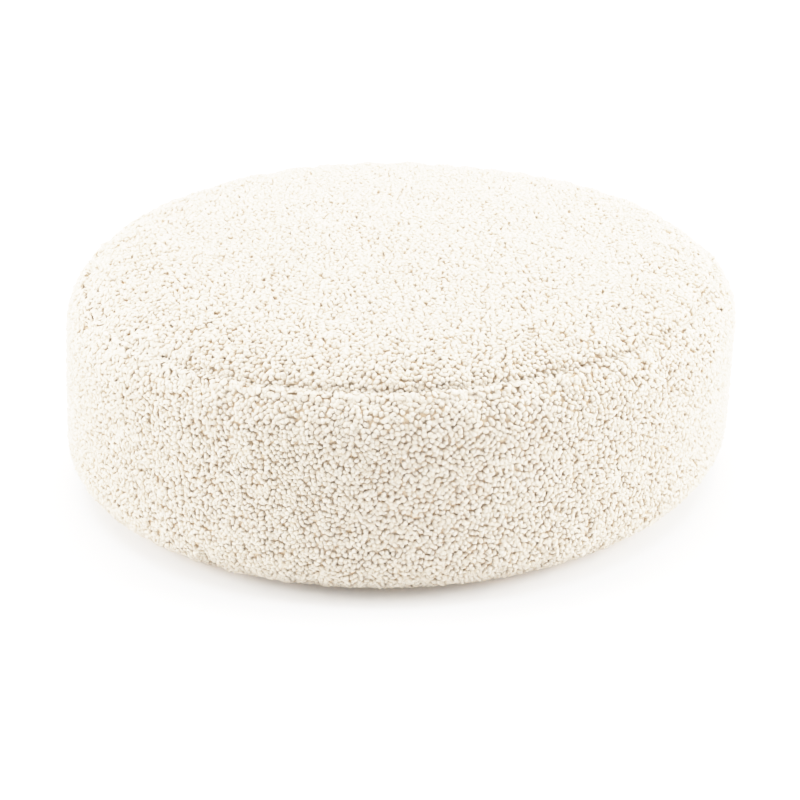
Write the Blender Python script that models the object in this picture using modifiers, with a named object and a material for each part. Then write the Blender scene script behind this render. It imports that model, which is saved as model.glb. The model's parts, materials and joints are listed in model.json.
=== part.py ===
"""A big, low, round pouf ottoman in short curly pile.

The crowned top disc, the filled drum inside its side band, and the flat base cloth are turned about
the upright Z axis. They are then made as uneven as a hand-filled pouf is. Metres, +Z up, and the
origin is on the floor below the middle. The front is toward -Y.
"""
import math

import bmesh
import bpy

# The drum: its outer radius is measured to the tips of the pile, half way up the wall
RADIUS = 0.300
WALL_BULGE = 0.001
SEGMENTS = 96

# The rounded shoulder is a quarter of an ellipse that ends near the flatter crown
EDGE_HEIGHT = 0.207
SHOULDER_WIDTH = 0.078
SHOULDER_DROP = 0.055
SHOULDER_END = math.radians(81.5)

# The foot, where the band is turned under to meet the base cloth
FOOT_WIDTH = 0.058
FOOT_RISE = 0.046

# Cloth: the pile cloth is measured with its pile, the base cloth is a plain canvas
PILE_THICKNESS = 0.009
BASE_THICKNESS = 0.002
CLEARANCE = 0.0003

# The seam round the shoulder: its groove, and the pressed ridge of seam allowance just below it
SEAM_ANGLE = math.radians(40.5)
GROOVE_DEPTH = 0.0055
GROOVE_HALF_WIDTH = 0.0050
RIDGE_BELOW = 0.0055
RIDGE_HEIGHT = 0.0016
RIDGE_HALF_WIDTH = 0.0035
SECOND_GROOVE_BELOW = 0.0115
SECOND_GROOVE_DEPTH = 0.0018
SECOND_GROOVE_HALF_WIDTH = 0.0035

# How far the filled shape is off a true turned drum. Angles are measured from +X, toward +Y. The
# leaning drum's middle line stands over the origin at LEAN_MIDDLE of the edge's height
OVAL = 0.005
OVAL_ANGLE = math.radians(49.0)
TILT = 0.0055
TILT_ANGLE = math.radians(185.0)
TWIST_OF_TOP = 0.0018
TWIST_ANGLE = math.radians(-45.0)
LEAN_TO_RIGHT = 0.0097
LEAN_MIDDLE = 0.469
SEAM_WANDER = math.radians(3.4)
SEAM_WANDER_ANGLE = math.radians(-55.0)

# The main tucks drawn into the seam: angle and half width in degrees, depth in metres
TUCKS = (
    {"angle": 204.0, "half_width": 6.0, "depth": 0.0030},
    {"angle": 229.0, "half_width": 5.0, "depth": 0.0018},
    {"angle": 262.0, "half_width": 7.0, "depth": 0.0024},
    {"angle": 295.0, "half_width": 5.0, "depth": 0.0034},
    {"angle": 320.0, "half_width": 5.0, "depth": 0.0022},
    {"angle": 345.0, "half_width": 5.0, "depth": 0.0042},
    {"angle": 24.0, "half_width": 6.0, "depth": 0.0026},
    {"angle": 78.0, "half_width": 7.0, "depth": 0.0028},
    {"angle": 139.0, "half_width": 6.0, "depth": 0.0024},
)
TUCK_SPREAD = math.radians(22.0)

# Worked out from the sizes above
SHOULDER_RADIUS = RADIUS - SHOULDER_WIDTH
SHOULDER_BASE = EDGE_HEIGHT - SHOULDER_DROP
SEAM_REACH = math.hypot(SHOULDER_WIDTH * math.sin(SEAM_ANGLE), SHOULDER_DROP * math.cos(SEAM_ANGLE))
CROWN_RADIUS = SHOULDER_RADIUS + SHOULDER_WIDTH * math.cos(SHOULDER_END)
CROWN_EDGE = SHOULDER_BASE + SHOULDER_DROP * math.sin(SHOULDER_END)
CROWN_SLOPE = SHOULDER_DROP / (SHOULDER_WIDTH * math.tan(SHOULDER_END))
CROWN_HEIGHT = CROWN_SLOPE * CROWN_RADIUS / 2.0
BAND_UNDERSIDE = BASE_THICKNESS + CLEARANCE
BAND_EDGE_ANGLE = math.acos(1.0 - BAND_UNDERSIDE / FOOT_RISE)
BAND_EDGE_RADIUS = RADIUS - FOOT_WIDTH * (1.0 - math.sin(BAND_EDGE_ANGLE))
BASE_RADIUS = BAND_EDGE_RADIUS - 0.003


def shoulder_point(angle, inset):
    """A point of the rounded shoulder, moved in square to the surface by the inset."""
    across = math.cos(angle) / SHOULDER_WIDTH
    upward = math.sin(angle) / SHOULDER_DROP
    length = math.hypot(across, upward)
    radius = SHOULDER_RADIUS + SHOULDER_WIDTH * math.cos(angle) - inset * across / length
    height = SHOULDER_BASE + SHOULDER_DROP * math.sin(angle) - inset * upward / length
    return radius, height


def crown_point(share, inset):
    """A point of the crown, from its edge at share 1 to the middle at share 0."""
    radius = CROWN_RADIUS * share
    slope = CROWN_SLOPE * share
    length = math.hypot(1.0, slope)
    height = CROWN_EDGE + CROWN_HEIGHT * (1.0 - share * share)
    return radius - inset * slope / length, height - inset / length


def dent(distance, half_width, depth):
    """A smooth dent of the given depth, with its middle at distance 0."""
    return depth * math.exp(-((distance / half_width) ** 2))


def seam_inset(distance):
    """How far the surface is drawn in, at this distance along it: above the seam is positive."""
    inset = dent(distance, GROOVE_HALF_WIDTH, GROOVE_DEPTH)
    if distance < 0.0:
        inset += dent(distance + SECOND_GROOVE_BELOW, SECOND_GROOVE_HALF_WIDTH, SECOND_GROOVE_DEPTH)
        inset -= dent(distance + RIDGE_BELOW, RIDGE_HALF_WIDTH, RIDGE_HEIGHT)
    return inset


def near_seam(distance):
    """The outer surface at this distance along it from the seam."""
    return shoulder_point(SEAM_ANGLE + distance / SEAM_REACH, seam_inset(distance))


def under_crown(inset):
    """The surface under the top disc's cloth, from the middle out to the seam."""
    points = [crown_point(share, inset) for share in (0.0, 0.3, 0.6, 0.85, 1.0)]
    points += [shoulder_point(math.radians(angle), inset) for angle in (66.0, 54.0, 46.0)]
    return points


def top_panel_profile():
    """The top disc with its pile: over the crown, down to the seam, and back underneath."""
    half_gap = CLEARANCE / 2.0
    points = [crown_point(share, 0.0) for share in (0.0, 0.3, 0.6, 0.85, 1.0)]
    points += [shoulder_point(math.radians(angle), 0.0) for angle in (71.0, 62.0, 55.0)]
    points += [near_seam(distance) for distance in (0.014, 0.009, 0.006, 0.0035, half_gap)]
    points.append(shoulder_point(SEAM_ANGLE + half_gap / SEAM_REACH, PILE_THICKNESS))
    points += reversed(under_crown(PILE_THICKNESS))
    return points


def side_band_profile():
    """The filled drum: its crown under the top disc, the seam, the wall and the turned-under foot."""
    half_gap = CLEARANCE / 2.0
    inset = PILE_THICKNESS + CLEARANCE
    points = under_crown(inset)
    points.append(shoulder_point(SEAM_ANGLE - half_gap / SEAM_REACH, inset))
    points += [near_seam(-distance) for distance in (half_gap, 0.003, 0.0055, 0.0085, 0.0115, 0.015)]
    points += [shoulder_point(math.radians(angle), 0.0) for angle in (22.0, 14.0, 7.0)]
    wall_steps = 4
    for step in range(wall_steps + 1):
        share = step / wall_steps
        height = SHOULDER_BASE + (FOOT_RISE - SHOULDER_BASE) * share
        points.append((RADIUS + WALL_BULGE * math.sin(math.pi * share), height))
    foot_steps = 6
    for step in range(1, foot_steps + 1):
        angle = math.pi / 2.0 + (BAND_EDGE_ANGLE - math.pi / 2.0) * step / foot_steps
        radius = RADIUS - FOOT_WIDTH * (1.0 - math.sin(angle))
        points.append((radius, FOOT_RISE * (1.0 - math.cos(angle))))
    points.append((0.0, BAND_UNDERSIDE))
    return points


def base_panel_profile():
    """The flat disc of plain cloth that closes the foot and lies on the floor."""
    return [(0.0, BASE_THICKNESS), (BASE_RADIUS, BASE_THICKNESS), (BASE_RADIUS, 0.0), (0.0, 0.0)]


def moved_seam(radius, height, around):
    """Slide a point of the shoulder along it, so that the seam wanders, and draw in the tucks."""
    across = (radius - SHOULDER_RADIUS) / SHOULDER_WIDTH
    upward = (height - SHOULDER_BASE) / SHOULDER_DROP
    if across <= 0.0 or upward <= 0.0:
        return radius, height
    angle = math.atan2(upward, across)
    reach = math.hypot(across, upward)
    pull = 0.0
    for tuck in TUCKS:
        off = math.remainder(around - math.radians(tuck["angle"]), 2.0 * math.pi)
        pull += dent(off, math.radians(tuck["half_width"]), tuck["depth"])
    reach -= dent(angle - SEAM_ANGLE, TUCK_SPREAD, pull) / SEAM_REACH
    angle += SEAM_WANDER * math.cos(2.0 * (around - SEAM_WANDER_ANGLE)) * math.sin(2.0 * angle)
    return (SHOULDER_RADIUS + SHOULDER_WIDTH * reach * math.cos(angle),
            SHOULDER_BASE + SHOULDER_DROP * reach * math.sin(angle))


def uneven(point):
    """Move a point of the true turned shape to where it is on the hand-filled one."""
    around = math.atan2(point.y, point.x)
    radius, height = moved_seam(math.hypot(point.x, point.y), point.z, around)
    rise = TILT * math.cos(around - TILT_ANGLE) + TWIST_OF_TOP * math.cos(2.0 * (around - TWIST_ANGLE))
    lifted = max(0.0, height - FOOT_RISE) / (EDGE_HEIGHT - FOOT_RISE)
    height += rise * lifted * min(1.0, radius / SHOULDER_RADIUS)
    radius *= 1.0 + OVAL / RADIUS * math.cos(2.0 * (around - OVAL_ANGLE))
    point.x = radius * math.cos(around) + LEAN_TO_RIGHT * (height / EDGE_HEIGHT - LEAN_MIDDLE)
    point.y = radius * math.sin(around)
    point.z = height


def material(name, colour, roughness):
    """A plain cloth."""
    made = bpy.data.materials.new(name)
    made.use_nodes = True
    shader = made.node_tree.nodes["Principled BSDF"]
    shader.inputs["Base Color"].default_value = (*colour, 1.0)
    shader.inputs["Roughness"].default_value = roughness
    shader.inputs["Metallic"].default_value = 0.0
    made.diffuse_color = (*colour, 1.0)
    return made


def turned(name, profile, cloth, collection, split):
    """Turn a profile about Z, then make the turned shape uneven.

    The split names the diagonal that parts each four-sided face. Two faces that lie against each
    other are parted along the same line, so that the gap between them stays even.
    """
    line = bpy.data.meshes.new(name + "_profile")
    points = [(radius, 0.0, height) for radius, height in profile]
    line.from_pydata(points, [(i, i + 1) for i in range(len(points) - 1)], [])
    guide = bpy.data.objects.new(name + "_profile", line)
    collection.objects.link(guide)
    screw = guide.modifiers.new("turn", "SCREW")
    screw.steps = SEGMENTS
    screw.render_steps = SEGMENTS
    screw.use_merge_vertices = True
    screw.merge_threshold = 0.0001
    evaluated = guide.evaluated_get(bpy.context.evaluated_depsgraph_get())
    mesh = bpy.data.meshes.new_from_object(evaluated)
    bpy.data.objects.remove(guide)
    bpy.data.meshes.remove(line)
    for vertex in mesh.vertices:
        uneven(vertex.co)
    faces = bmesh.new()
    faces.from_mesh(mesh)
    bmesh.ops.triangulate(faces, faces=faces.faces, quad_method=split)
    faces.to_mesh(mesh)
    faces.free()
    mesh.name = name
    mesh.materials.append(cloth)
    mesh.shade_smooth()
    mesh.set_sharp_from_angle(angle=math.radians(40.0))
    piece = bpy.data.objects.new(name, mesh)
    collection.objects.link(piece)
    return piece


def build():
    """Clear the scene and make the three pieces."""
    for old in list(bpy.data.objects):
        bpy.data.objects.remove(old)
    collection = bpy.data.collections.new("pouf_ottoman")
    bpy.context.scene.collection.children.link(collection)
    pile = material("cream_pile", (0.80, 0.74, 0.65), 0.95)
    band_pile = material("cream_pile_of_the_band", (0.77, 0.70, 0.61), 0.95)
    canvas = material("taupe_canvas", (0.16, 0.14, 0.12), 0.90)
    turned("top_panel", top_panel_profile(), pile, collection, "ALTERNATE")
    turned("side_band", side_band_profile(), band_pile, collection, "FIXED")
    turned("base_panel", base_panel_profile(), canvas, collection, "FIXED")


build()
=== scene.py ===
"""Looks of a big, low, round pouf ottoman in cream curly pile.

The filled bag is shaped first. The band and the top disc are then cut from it along the seam, and
each gets its own short pile, made of thousands of small separate curls.
"""
import json
import math

import bmesh
import bpy
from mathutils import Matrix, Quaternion, Vector, bvhtree
import numpy as np

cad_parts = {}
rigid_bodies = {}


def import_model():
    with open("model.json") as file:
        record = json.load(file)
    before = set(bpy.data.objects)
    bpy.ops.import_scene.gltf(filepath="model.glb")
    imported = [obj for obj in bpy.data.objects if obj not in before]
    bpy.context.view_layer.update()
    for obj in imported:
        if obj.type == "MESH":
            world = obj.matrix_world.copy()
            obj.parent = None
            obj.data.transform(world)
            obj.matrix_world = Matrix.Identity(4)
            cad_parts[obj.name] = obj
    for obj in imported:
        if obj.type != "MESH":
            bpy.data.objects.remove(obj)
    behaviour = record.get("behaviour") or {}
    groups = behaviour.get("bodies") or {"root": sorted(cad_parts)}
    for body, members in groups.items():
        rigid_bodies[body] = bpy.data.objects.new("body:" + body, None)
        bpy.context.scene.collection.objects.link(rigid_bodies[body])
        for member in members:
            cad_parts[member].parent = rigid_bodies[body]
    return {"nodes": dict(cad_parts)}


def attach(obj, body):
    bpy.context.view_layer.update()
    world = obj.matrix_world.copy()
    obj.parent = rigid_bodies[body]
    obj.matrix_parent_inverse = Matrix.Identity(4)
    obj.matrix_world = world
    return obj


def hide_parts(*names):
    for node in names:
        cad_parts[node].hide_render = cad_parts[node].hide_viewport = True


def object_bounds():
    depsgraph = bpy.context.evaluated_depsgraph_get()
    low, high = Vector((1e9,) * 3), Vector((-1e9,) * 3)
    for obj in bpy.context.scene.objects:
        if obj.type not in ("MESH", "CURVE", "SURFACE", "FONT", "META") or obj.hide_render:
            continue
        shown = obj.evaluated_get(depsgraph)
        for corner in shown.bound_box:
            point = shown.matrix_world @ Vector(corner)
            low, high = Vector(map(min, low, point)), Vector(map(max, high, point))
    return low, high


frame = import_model()
cad_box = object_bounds()


# The base cloth.
# A flat disc of plain taupe canvas closes the foot. It is woven, sewn inside the turned-under
# band, and only the dark line of its edge shows. The frame's own solid has its true shape.

CANVAS_DARK = (0.105, 0.092, 0.078)
CANVAS_LIGHT = (0.165, 0.148, 0.128)
CANVAS_THREADS_PER_METRE = 1250.0


class Wire:
    """One end of a node, on which Python's operators work: each adds its Math node."""

    def __init__(self, tree, end=None):
        self.tree = tree
        self.end = end

    def add(self, kind, settings=None, inputs=None, output=0):
        """Any other node: its settings, the values or wires of its sockets, and the end wanted."""
        node = self.tree.nodes.new(kind)
        for name, value in (settings or {}).items():
            setattr(node, name, value)
        for name, value in (inputs or {}).items():
            if isinstance(value, Wire):
                self.tree.links.new(value.end, node.inputs[name])
            else:
                node.inputs[name].default_value = value
        return Wire(self.tree, node.outputs[output] if node.outputs else None)

    def math(self, operation, *values):
        """One Math node on numbers and wires."""
        return self.add("ShaderNodeMath", {"operation": operation}, dict(enumerate(values)))

    def vector(self, operation, *values, output=0):
        """One Vector Math node on vectors and wires."""
        settings = {"operation": operation}
        return self.add("ShaderNodeVectorMath", settings, dict(enumerate(values)), output)

    def __add__(self, other):
        return self.math("ADD", self, other)

    def __radd__(self, other):
        return self.math("ADD", other, self)

    def __sub__(self, other):
        return self.math("SUBTRACT", self, other)

    def __rsub__(self, other):
        return self.math("SUBTRACT", other, self)

    def __mul__(self, other):
        return self.math("MULTIPLY", self, other)

    def __truediv__(self, other):
        return self.math("DIVIDE", self, other)

    def scaled(self, factor):
        """A vector times one number."""
        return self.add("ShaderNodeVectorMath", {"operation": "SCALE"}, {0: self, "Scale": factor})

    def noise(self, scale, detail=2.0, roughness=0.5, output="Fac"):
        """Soft noise read at this vector."""
        sockets = {"Vector": self, "Scale": scale, "Detail": detail, "Roughness": roughness}
        return self.add("ShaderNodeTexNoise", {}, sockets, output)

    def smooth(self, low, high):
        """0 below low, 1 above high, and smooth between."""
        settings = {"interpolation_type": "SMOOTHSTEP"}
        sockets = {"Value": self, "From Min": low, "From Max": high}
        return self.add("ShaderNodeMapRange", settings, sockets)

    def between(self, first, second):
        """The colour that lies this share of the way from the first to the second."""
        settings = {"data_type": "RGBA"}
        sockets = {"Factor": self, 6: colour_or_wire(first), 7: colour_or_wire(second)}
        return self.add("ShaderNodeMix", settings, sockets, 2)


def colour_or_wire(value):
    """A colour of three numbers gets its fourth, and a wire stays as it is."""
    return value if isinstance(value, Wire) else (*value, 1.0)


def cloth_material(name, roughness, sheen):
    """A matt cloth: its material, its shader, and a wire to start its pattern from."""
    made = bpy.data.materials.new(name)
    made.use_nodes = True
    shader = made.node_tree.nodes["Principled BSDF"]
    shader.inputs["Roughness"].default_value = roughness
    shader.inputs["Specular IOR Level"].default_value = 0.15
    shader.inputs["Sheen Weight"].default_value = sheen
    shader.inputs["Sheen Roughness"].default_value = 0.6
    return made, shader, Wire(made.node_tree)


def finish_cloth(wire, shader, colour, height, distance):
    """Lead a colour and a height, in units of this distance, to the shader."""
    wire.tree.links.new(colour.end, shader.inputs["Base Color"])
    bump = wire.add("ShaderNodeBump", {}, {"Height": height, "Distance": distance, "Strength": 1.0})
    wire.tree.links.new(bump.end, shader.inputs["Normal"])


canvas, canvas_shader, start = cloth_material("taupe_canvas", 0.9, 0.1)
place = start.add("ShaderNodeTexCoord", output="Object")
across, along, _ = (start.add("ShaderNodeSeparateXYZ", {}, {0: place}, axis) for axis in range(3))
turns = 2.0 * math.pi * CANVAS_THREADS_PER_METRE / 2.0
weft = start.math("SINE", across * turns)
warp = start.math("SINE", along * turns)
weave = (weft * warp) * 0.5 + 0.5
slub = place.noise(160.0, detail=3.0)
canvas_colour = (weave * 0.6 + slub * 0.5).between(CANVAS_DARK, CANVAS_LIGHT)
finish_cloth(start, canvas_shader, canvas_colour, weave, 0.0002)

base = frame["nodes"]["base_panel"]
base.data.materials.clear()
base.data.materials.append(canvas)


# The filled bag.
# Band, top disc and filling are one taut, uneven drum. Its outer skin is taken from the frame's
# two solids, swelled as filled cloth, and held along the seam and on the floor.

VOXEL = 0.0055
LOWEST = 0.0026
PILE_DEPTH = 0.0038
SEAM_HELD = 0.0045
FLOOR_HELD = 0.008
MOST_SWELL = 0.0045
CREASES_KEPT = 0.6
CREASE_WIDTH_IN_STEPS = 40
SWELL_FRAMES = 20
TOP_HALF = cad_box[1][2] * 0.6


def skin_of(node, other):
    """A copy of a node's solid without the faces that lie against the other node."""
    copy = bmesh.new()
    copy.from_mesh(frame["nodes"][node].data)
    bmesh.ops.remove_doubles(copy, verts=copy.verts, dist=0.00001)
    against = bmesh.new()
    against.from_mesh(frame["nodes"][other].data)
    tree = bvhtree.BVHTree.FromBMesh(against)
    against.free()
    hidden = [f for f in copy.faces if tree.find_nearest(f.calc_center_median(), 0.0008)[0] is not None]
    bmesh.ops.delete(copy, geom=hidden, context="FACES")
    return copy


def to_object(shape, name):
    """A bmesh as a new object in the scene."""
    mesh = bpy.data.meshes.new(name)
    shape.to_mesh(mesh)
    shape.free()
    made = bpy.data.objects.new(name, mesh)
    bpy.context.scene.collection.objects.link(made)
    return made


def with_modifiers_applied(piece):
    """Keep what the modifiers make of a piece, and drop the modifiers."""
    seen = piece.evaluated_get(bpy.context.evaluated_depsgraph_get())
    old = piece.data
    piece.data = bpy.data.meshes.new_from_object(seen)
    piece.modifiers.clear()
    bpy.data.meshes.remove(old)


def points_of(mesh):
    """A mesh's points as rows of x, y and z."""
    flat = np.empty(len(mesh.vertices) * 3)
    mesh.vertices.foreach_get("co", flat)
    return flat.reshape(-1, 3)


def normals_of(mesh):
    """A mesh's point normals as rows of x, y and z."""
    flat = np.empty(len(mesh.vertices) * 3)
    mesh.vertices.foreach_get("normal", flat)
    return flat.reshape(-1, 3)


def set_points(mesh, points):
    """Give a mesh new places for its points."""
    mesh.vertices.foreach_set("co", np.ascontiguousarray(points, dtype=np.float32).ravel())
    mesh.update()


top_skin = skin_of("top_panel", "side_band")
band_skin = skin_of("side_band", "top_panel")

# The seam is the edge where the top disc's skin ends: its place at each angle round the pouf
edge = [v.co.copy() for v in top_skin.verts if v.is_boundary]
seam = np.array(sorted((math.atan2(p.y, p.x), math.hypot(p.x, p.y), p.z) for p in edge))


def seam_distance(points):
    """How far each point lies above the seam, along the shoulder, and how far out from it."""
    around = np.arctan2(points[:, 1], points[:, 0])
    radius = np.interp(around, seam[:, 0], seam[:, 1], period=2.0 * math.pi)
    height = np.interp(around, seam[:, 0], seam[:, 2], period=2.0 * math.pi)
    out = np.hypot(points[:, 0], points[:, 1]) - radius
    up = points[:, 2] - height
    slope = math.radians(52.0)
    return up * math.sin(math.pi / 2.0 - slope) - out * math.cos(math.pi / 2.0 - slope), around


merged = bmesh.new()
for skin in (top_skin, band_skin):
    part = bpy.data.meshes.new("part_of_bag")
    skin.to_mesh(part)
    skin.free()
    merged.from_mesh(part)
    bpy.data.meshes.remove(part)
bmesh.ops.remove_doubles(merged, verts=merged.verts, dist=0.0006)
bag = to_object(merged, "filled_bag")
remesh = bag.modifiers.new("even_mesh", "REMESH")
remesh.mode = "VOXEL"
remesh.voxel_size = VOXEL
with_modifiers_applied(bag)

outward = normals_of(bag.data)
depth = PILE_DEPTH * (1.0 - 0.8 * np.clip(-outward[:, 2], 0.0, 1.0))
drawn_in = points_of(bag.data) - outward * depth[:, None]
drawn_in[:, 2] = np.maximum(drawn_in[:, 2], LOWEST)
set_points(bag.data, drawn_in)

started = points_of(bag.data)
above, _ = seam_distance(started)
held = np.exp(-((above / SEAM_HELD) ** 2))
held = np.maximum(held, np.clip(1.0 - (started[:, 2] - LOWEST) / FLOOR_HELD, 0.0, 1.0))
group = bag.vertex_groups.new(name="held")
for index in np.flatnonzero(held > 0.02):
    group.add([int(index)], float(held[index]), "REPLACE")
swell = bag.modifiers.new("swell", "CLOTH")
swell.settings.quality = 6
swell.settings.use_pressure = True
swell.settings.uniform_pressure_force = 4.0
swell.settings.effector_weights.gravity = 0.0
swell.settings.vertex_group_mass = "held"
swell.settings.shrink_min = -0.02
swell.settings.bending_stiffness = 0.3
swell.point_cache.frame_start = 1
swell.point_cache.frame_end = SWELL_FRAMES
for frame_number in range(1, SWELL_FRAMES + 1):
    bpy.context.scene.frame_set(frame_number)
with_modifiers_applied(bag)
bpy.context.scene.frame_set(1)
moved = points_of(bag.data) - started
length = np.linalg.norm(moved, axis=1, keepdims=True)
moved *= np.minimum(1.0, MOST_SWELL / np.maximum(length, 1e-9))
# The frame's solids already have the full bag's outline, so only the creases are kept
links = np.empty(len(bag.data.edges) * 2, dtype=np.int32)
bag.data.edges.foreach_get("vertices", links)
first, second = links.reshape(-1, 2).T
count = np.bincount(links, minlength=len(started))
broad = moved.copy()
for _ in range(CREASE_WIDTH_IN_STEPS):
    for axis in range(3):
        total = np.bincount(first, broad[second, axis], len(started))
        total += np.bincount(second, broad[first, axis], len(started))
        broad[:, axis] = (broad[:, axis] + total / count) / 2.0
set_points(bag.data, started + (moved - broad) * CREASES_KEPT)


# The band and the top disc, as cloth.
# Both are cut from the bag along the seam. The pile stands on this backing, which shows only as
# the floor of the gaps between the curls; its warm dark tan is partly the cloth and partly painted
# shade of those gaps.

# Partly painted shade: the backing is tinted a warm tan, darker than the pile, for the shade at the
# floor of the gaps between curls.
BACKING_TINT_WITH_PAINTED_SHADE = (0.86, 0.675, 0.48)
BACKING_DROP = 0.0011
DROP_AT_SEAM = 0.0018
DROP_REACH = 0.008

# Small creases and pits: where each starts and ends, as an angle round the pouf and a height above
# the seam, then its half width and its depth
CREASES = (
    (295.4, 0.0044, 295.4, 0.0044, 0.0026, 0.0034),
    (296.5, -0.0060, 296.9, -0.0160, 0.0016, 0.0018),
    (343.8, -0.0080, 343.8, 0.0030, 0.0020, 0.0030),
    (343.7, 0.0120, 348.0, 0.0440, 0.0020, 0.0010),
    (204.3, 0.0020, 204.0, 0.0080, 0.0026, 0.0009),
    (204.0, 0.0080, 205.0, 0.0160, 0.0026, 0.0012),
    (205.0, 0.0160, 207.0, 0.0245, 0.0026, 0.0011),
    (207.0, 0.0245, 211.8, 0.0370, 0.0026, 0.0009),
    (237.4, -0.1070, 236.0, -0.1120, 0.0040, 0.0020),
    (242.8, -0.1090, 244.5, -0.1110, 0.0035, 0.0018),
    (254.7, -0.1087, 256.0, -0.1120, 0.0035, 0.0020),
    (272.9, -0.1092, 274.0, -0.1110, 0.0030, 0.0016),
)

backing, backing_shader, start = cloth_material("pile_backing", 0.95, 0.0)
place = start.add("ShaderNodeTexCoord", output="Object")
knit = place.noise(900.0)
backing_colour_with_painted_shade = knit.between(BACKING_TINT_WITH_PAINTED_SHADE, tuple(c * 1.15 for c in BACKING_TINT_WITH_PAINTED_SHADE))
finish_cloth(start, backing_shader, backing_colour_with_painted_shade, knit, 0.0003)


def crease_depth(points):
    """How deep the creases and pits are at each point."""
    above, around = seam_distance(points)
    deepest = np.zeros(len(points))
    for from_angle, from_height, to_angle, to_height, half_width, depth in CREASES:
        along = (around - math.radians(from_angle) + math.pi) % (2.0 * math.pi) - math.pi
        along = along * seam[:, 1].mean()
        run = math.radians(to_angle - from_angle) * seam[:, 1].mean()
        climb = to_height - from_height
        share = (along * run + (above - from_height) * climb) / (run * run + climb * climb + 1e-9)
        share = np.clip(share, 0.0, 1.0)
        away = np.hypot(along - share * run, above - from_height - share * climb)
        deepest = np.maximum(deepest, depth * np.exp(-((away / half_width) ** 2)))
    return deepest


def cut_from_bag(name, above_seam):
    """The part of the bag on one side of the seam, closed across the cut."""
    shape = bmesh.new()
    shape.from_mesh(bag.data)
    shape.faces.ensure_lookup_table()
    centres = np.array([f.calc_center_median() for f in shape.faces])
    above, _ = seam_distance(centres)
    on_top = (above > 0.0) & (centres[:, 2] > TOP_HALF)
    wrong = [shape.faces[int(i)] for i in np.flatnonzero(on_top != above_seam)]
    bmesh.ops.delete(shape, geom=wrong, context="FACES")
    bmesh.ops.holes_fill(shape, edges=[e for e in shape.edges if e.is_boundary], sides=0)
    bmesh.ops.recalc_face_normals(shape, faces=shape.faces)
    piece = to_object(shape, name)
    points = points_of(piece.data)
    above, _ = seam_distance(points)
    drop = BACKING_DROP + DROP_AT_SEAM * np.exp(-((above / DROP_REACH) ** 2))
    drop = drop * np.clip((points[:, 2] - LOWEST) / 0.006, 0.0, 1.0) + crease_depth(points)
    set_points(piece.data, points - normals_of(piece.data) * drop[:, None])
    piece.data.materials.append(backing)
    piece.data.shade_smooth()
    return piece


band_cloth = cut_from_bag("band_cloth", False)
top_cloth = cut_from_bag("top_cloth", True)

for piece, node in ((band_cloth, "side_band"), (top_cloth, "top_panel")):
    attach(piece, "root")
    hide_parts(node)


# The pile.
# Short wool-like fibres are curled into small soft knobs, each a few millimetres wide and rooted in
# the backing. They are pressed small along the seam and where the foot is turned under.

CURL_SHAPES = 8
CURL_SIDES = 6
CURL_RADIUS = 0.0026
CURL_HEIGHT = 0.0026
CURL_SPACING = 0.00316
CURL_DENSEST = 600000.0
CURL_SINK = 0.25
CURL_LEAN = 0.40
CLUMPS_PER_METRE = 62.0
CLUMP_RISE = 0.0007
GROOVE_DEPTH = 0.0021
GROOVE_WIDTH = 0.0030
RIDGE_BELOW = 0.0058
RIDGE_RISE = 0.0016
PUCKER = 0.0008
SOFT_SEAM_ANGLE = 215.0
SOFT_SEAM_REACH = 0.40
PRESSED_ANGLE = 235.0
SEAM_OVERLAP = 0.0018
FOOT_TOP = 0.030
DEEPEST_COVERED = 0.0026
# The root colour is painted warm shade of the gaps between curls, and the tip colour is a painted
# highlight on their tops; the body colour is the pile's own cream.
CURL_ROOT_PAINTED_SHADE = (0.87, 0.685, 0.49)
BODY_COLOUR = (0.85, 0.70, 0.515)
CURL_TIP_PAINTED_HIGHLIGHT = (0.90, 0.785, 0.63)

chance = np.random.default_rng(7)
curls = bpy.data.collections.new("curl_shapes")
for number in range(CURL_SHAPES):
    curl = bmesh.new()
    bmesh.ops.create_uvsphere(curl, u_segments=CURL_SIDES, v_segments=3, radius=1.0)
    for vert in curl.verts:
        if abs(vert.co.z) > 0.9:
            vert.co.z *= 0.95
        elif vert.co.z > 0.0:
            vert.co = Vector((vert.co.x * 0.78, vert.co.y * 0.78, 0.70))
        else:
            vert.co = Vector((vert.co.x * 1.16, vert.co.y * 1.16, 0.05))
    shift = Vector((*chance.normal(0.0, 0.16, 2), 0.0))
    for vert in curl.verts:
        up = max(0.0, vert.co.z)
        vert.co += shift * up + Vector(chance.normal(0.0, 0.15, 3))
    mesh = bpy.data.meshes.new("curl_%d" % number)
    curl.to_mesh(mesh)
    curl.free()
    mesh.shade_smooth()
    own = points_of(mesh).astype(np.float32)
    mesh.attributes.new("fibre", "FLOAT_VECTOR", "POINT").data.foreach_set("vector", own.ravel())
    curls.objects.link(bpy.data.objects.new("curl_%d" % number, mesh))


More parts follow.
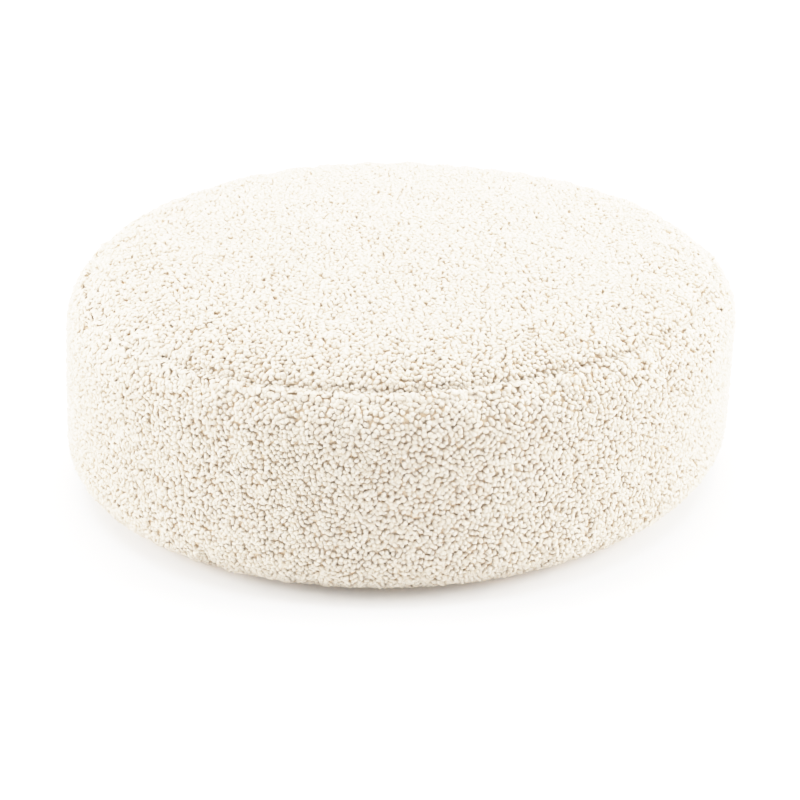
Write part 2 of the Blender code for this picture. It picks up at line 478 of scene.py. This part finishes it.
def pile_material(name):
    """Curly pile: painted warm shade toward the roots of the curls and a painted highlight toward the
    tips, with fine fibres that bend over each curl.
    """
    made, shader, first = cloth_material(name, 0.95, 0.35)
    fibre = first.add("ShaderNodeAttribute", {"attribute_name": "fibre"}, output="Vector")
    tone = first.add("ShaderNodeAttribute", {"attribute_name": "tone"}, output="Fac")
    _, _, rise = (first.add("ShaderNodeSeparateXYZ", {}, {0: fibre}, axis) for axis in range(3))
    own_place = first.add("ShaderNodeCombineXYZ", {}, {0: tone * 91.0, 1: tone * 57.0, 2: tone * 23.0})
    strands = first.vector("ADD", fibre, own_place).noise(2.6, detail=3.0, roughness=0.65)
    height = rise + (strands - 0.5) * 1.5 + (tone - 0.5) * 0.3
    # Painted shade darkens and warms each curl toward its root, and a painted highlight pales its tip.
    body = height.smooth(-0.3, 0.5).between(CURL_ROOT_PAINTED_SHADE, BODY_COLOUR)
    finish_cloth(first, shader, height.smooth(0.35, 1.05).between(body, CURL_TIP_PAINTED_HIGHLIGHT), strands, 0.0024)
    return made


def random_value(start, kind, low, high, seed, output):
    """A random number or vector for each point or instance."""
    first = {"FLOAT_VECTOR": 0, "FLOAT": 2, "INT": 4}[kind]
    sockets = {first: low, first + 1: high, 8: seed}
    return start.add("FunctionNodeRandomValue", {"data_type": kind}, sockets, output)


def pile_on(cloth, name, material, parts):
    """Plant curls all over a cloth, in several pieces that lie side by side round the pouf."""
    made = []
    for part in range(parts):
        tree = bpy.data.node_groups.new("pile", "GeometryNodeTree")
        tree.interface.new_socket("Geometry", in_out="INPUT", socket_type="NodeSocketGeometry")
        tree.interface.new_socket("Geometry", in_out="OUTPUT", socket_type="NodeSocketGeometry")
        start = Wire(tree)
        surface = start.add("NodeGroupInput")
        cover = start.add("GeometryNodeInputNamedAttribute", {"data_type": "FLOAT"}, {"Name": "cover"})
        size = start.add("GeometryNodeInputNamedAttribute", {"data_type": "FLOAT"}, {"Name": "size"})
        flat = start.add("GeometryNodeInputNamedAttribute", {"data_type": "FLOAT"}, {"Name": "flat"})
        settings = {"distribute_method": "POISSON"}
        sockets = {"Mesh": surface, "Distance Min": CURL_SPACING, "Density Max": CURL_DENSEST}
        sockets.update({"Density Factor": cover, "Seed": 3})
        spread = start.add("GeometryNodeDistributePointsOnFaces", settings, sockets)
        normal = Wire(tree, spread.end.node.outputs["Normal"])
        facing = Wire(tree, spread.end.node.outputs["Rotation"])
        place = start.add("GeometryNodeInputPosition")
        x, y, _ = (start.add("ShaderNodeSeparateXYZ", {}, {0: place}, axis) for axis in range(3))
        turn = start.math("ARCTAN2", y, x) / (2.0 * math.pi) + 0.5
        mine = start.math("COMPARE", start.math("FLOOR", turn * (parts - 0.0001)), float(part), 0.1)
        settings = {"domain": "POINT"}
        kept = start.add("GeometryNodeDeleteGeometry", settings, {0: spread, 1: 1.0 - mine})
        clump = place.noise(CLUMPS_PER_METRE, detail=2.0) - 0.5
        lift = clump * (2.0 * CLUMP_RISE) + size * (CURL_HEIGHT * CURL_SINK)
        raised = start.add("GeometryNodeSetPosition", {}, {0: kept, 3: normal.scaled(lift)})
        shapes = start.add("GeometryNodeCollectionInfo", {}, {0: curls, 1: True, 2: True})
        lean = random_value(start, "FLOAT_VECTOR", (-CURL_LEAN, -CURL_LEAN, -math.pi),
                            (CURL_LEAN, CURL_LEAN, math.pi), 11, 0)
        spin = start.add("FunctionNodeEulerToRotation", {}, {0: lean})
        settings = {"rotation_space": "LOCAL"}
        facing = start.add("FunctionNodeRotateRotation", settings, {0: facing, 1: spin})
        radius, height = CURL_RADIUS, CURL_HEIGHT
        grown = random_value(start, "FLOAT_VECTOR", (radius * 0.95, radius * 0.85, height * 0.8),
                             (radius * 1.35, radius * 1.10, height * 1.25), 12, 0)
        pressed = start.add("ShaderNodeCombineXYZ", {}, {0: 1.0 + flat * 0.25, 1: 1.0 + flat * 0.25,
                                                         2: 1.0 - flat * 0.5})
        grown = start.vector("MULTIPLY", grown, pressed).scaled(size * (1.0 + clump * 0.2))
        pick = random_value(start, "INT", 0, CURL_SHAPES - 1, 13, 2)
        sockets = {"Points": raised, "Instance": shapes, "Pick Instance": True, "Instance Index": pick}
        sockets.update({"Rotation": facing, "Scale": grown})
        planted = start.add("GeometryNodeInstanceOnPoints", {}, sockets)
        tone = random_value(start, "FLOAT", 0.0, 1.0, 14, 1)
        settings = {"data_type": "FLOAT", "domain": "INSTANCE"}
        sockets = {"Geometry": planted, "Name": "tone", "Value": tone}
        toned = start.add("GeometryNodeStoreNamedAttribute", settings, sockets)
        whole = start.add("GeometryNodeRealizeInstances", {}, {0: toned})
        painted = start.add("GeometryNodeSetMaterial", {}, {0: whole, 2: material})
        start.add("NodeGroupOutput", {}, {0: painted})
        piece = bpy.data.objects.new("%s_%d" % (name, part + 1), cloth.data.copy())
        bpy.context.scene.collection.objects.link(piece)
        modifier = piece.modifiers.new("pile", "NODES")
        modifier.node_group = tree
        with_modifiers_applied(piece)
        bpy.data.node_groups.remove(tree)
        made.append(piece)
    return made


def bed_for(above_seam):
    """A finer copy of the bag's skin, with the relief of its seam, to plant the curls on."""
    shape = bmesh.new()
    shape.from_mesh(bag.data)
    bmesh.ops.subdivide_edges(shape, edges=shape.edges, cuts=1, smooth=1.0, use_grid_fill=True)
    shape.faces.sort(key=lambda face: chance.random())
    bed = to_object(shape, "bed")
    points, normal = points_of(bed.data), normals_of(bed.data)
    above, around = seam_distance(points)
    pressed = 0.55 + 0.45 * np.cos(around - math.radians(PRESSED_ANGLE))
    from_soft = (around - math.radians(SOFT_SEAM_ANGLE) + math.pi) % (2.0 * math.pi) - math.pi
    worn = np.exp(-((from_soft / SOFT_SEAM_REACH) ** 2))
    rise = -GROOVE_DEPTH * (1.0 - 0.6 * worn) * np.exp(-((above / GROOVE_WIDTH) ** 2))
    rise += RIDGE_RISE * pressed * np.exp(-(((above + RIDGE_BELOW) / 0.0028) ** 2))
    rise -= 0.8 * RIDGE_RISE * pressed * np.exp(-(((above + 2.0 * RIDGE_BELOW) / 0.003) ** 2))
    gathers = np.sin(58.0 * around + 2.1 * np.sin(17.0 * around)) * np.cos(5.0 * around + 1.0)
    rise += PUCKER * gathers * np.exp(-((above / 0.016) ** 2))
    pits = crease_depth(points)
    rise -= pits
    set_points(bed.data, points + normal * rise[:, None])
    near_seam = np.exp(-((above / 0.004) ** 2))
    foot = np.clip((FOOT_TOP - points[:, 2]) / 0.025, 0.0, 1.0)
    size = 1.0 - 0.20 * near_seam - 0.25 * foot
    flat = pressed * np.exp(-(((above + RIDGE_BELOW) / 0.0035) ** 2)) + 0.9 * foot
    flat += 0.7 * worn * np.exp(-((above / 0.022) ** 2))
    flat = np.minimum(flat, 1.2)
    if above_seam:
        own = (above > -SEAM_OVERLAP) & (points[:, 2] > TOP_HALF)
    else:
        own = (above < SEAM_OVERLAP) | (points[:, 2] < TOP_HALF)
    shown = (normal[:, 2] > -0.92) & (points[:, 2] > 0.0040) & (pits < DEEPEST_COVERED)
    for label, values in (("cover", own & shown), ("size", size), ("flat", flat)):
        layer = bed.data.attributes.new(label, "FLOAT", "POINT")
        layer.data.foreach_set("value", values.astype(np.float32))
    return bed


band_pile_look = pile_material("cream_pile_of_the_band")
top_pile_look = pile_material("cream_pile")
band_bed = bed_for(False)
top_bed = bed_for(True)
for piece in pile_on(band_bed, "band_pile", band_pile_look, 3):
    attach(piece, "root")
for piece in pile_on(top_bed, "top_pile", top_pile_look, 2):
    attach(piece, "root")
for shape in (bag, band_bed, top_bed):
    bpy.data.objects.remove(shape)
for shape in list(curls.objects):
    bpy.data.objects.remove(shape)
bpy.data.collections.remove(curls)


# The floor, the light and the camera.
# A plain pale floor under soft studio light: a wide lamp above and behind, and one on each side.
# The camera looks down at the front, from where the photograph was taken.

FLOOR_SIZE = 14.0
FLOOR_COLOUR = (0.92, 0.92, 0.92)
SKY_STRENGTH = 0.41
CAMERA_DISTANCE = 2.378
CAMERA_ELEVATION = math.radians(23.5)
CAMERA_ROLL = math.radians(-0.456)
CAMERA_AIM = Vector((-0.0003, 0.0, 0.0569))
PIXELS_PER_UNIT_SLOPE = 2600.0
PICTURE_PIXELS = 800.0
BRIGHTEST = 1.45
SHOULDER = 3.0

ground = bmesh.new()
bmesh.ops.create_grid(ground, x_segments=1, y_segments=1, size=FLOOR_SIZE / 2.0)
floor = to_object(ground, "floor")
floor_paint = bpy.data.materials.new("floor_paint")
floor_paint.use_nodes = True
floor_shader = floor_paint.node_tree.nodes["Principled BSDF"]
floor_shader.inputs["Base Color"].default_value = (*FLOOR_COLOUR, 1.0)
floor_shader.inputs["Roughness"].default_value = 0.9
floor_shader.inputs["Specular IOR Level"].default_value = 0.1
floor.data.materials.append(floor_paint)

world = bpy.data.worlds.new("studio")
world.use_nodes = True
sky = world.node_tree.nodes["Background"]
sky.inputs["Color"].default_value = (1.0, 1.0, 1.0, 1.0)
sky.inputs["Strength"].default_value = SKY_STRENGTH
bpy.context.scene.world = world

# The photograph is bright and soft in its lights, so the picture's response bends over near white
response = bpy.context.scene.view_settings
response.view_transform = "Standard"
response.use_curve_mapping = True
response.curve_mapping.white_level = (BRIGHTEST, BRIGHTEST, BRIGHTEST)
bend = response.curve_mapping.curves[3].points
for level in (0.16, 0.33, 0.5, 0.66, 0.84):
    bend.new(level, 1.0 - math.exp(-SHOULDER * level * BRIGHTEST))
response.curve_mapping.update()

LAMPS = (
    {"name": "above_behind", "at": (0.0, 0.55, 2.8), "width": 3.2, "depth": 2.6, "watts": 132.0},
    {"name": "right", "at": (2.4, -0.15, 0.9), "width": 1.6, "depth": 1.4, "watts": 80.0},
    {"name": "left", "at": (-2.4, -0.15, 0.9), "width": 1.6, "depth": 1.4, "watts": 66.0},
)
for row in LAMPS:
    light = bpy.data.lights.new(row["name"], "AREA")
    light.shape = "RECTANGLE"
    light.size = row["width"]
    light.size_y = row["depth"]
    light.energy = row["watts"]
    lamp = bpy.data.objects.new(row["name"], light)
    bpy.context.scene.collection.objects.link(lamp)
    lamp.location = row["at"]
    lamp.rotation_euler = (CAMERA_AIM - lamp.location).to_track_quat("-Z", "Y").to_euler()

view = bpy.data.cameras.new("camera")
view.sensor_width = 36.0
view.lens = PIXELS_PER_UNIT_SLOPE / PICTURE_PIXELS * view.sensor_width
camera = bpy.data.objects.new("camera", view)
bpy.context.scene.collection.objects.link(camera)
back = Vector((0.0, -math.cos(CAMERA_ELEVATION), math.sin(CAMERA_ELEVATION)))
camera.location = CAMERA_AIM + back * CAMERA_DISTANCE
turn = back.to_track_quat("Z", "Y")
camera.rotation_mode = "QUATERNION"
camera.rotation_quaternion = turn @ Quaternion((0.0, 0.0, 1.0), CAMERA_ROLL)
bpy.context.scene.camera = camera
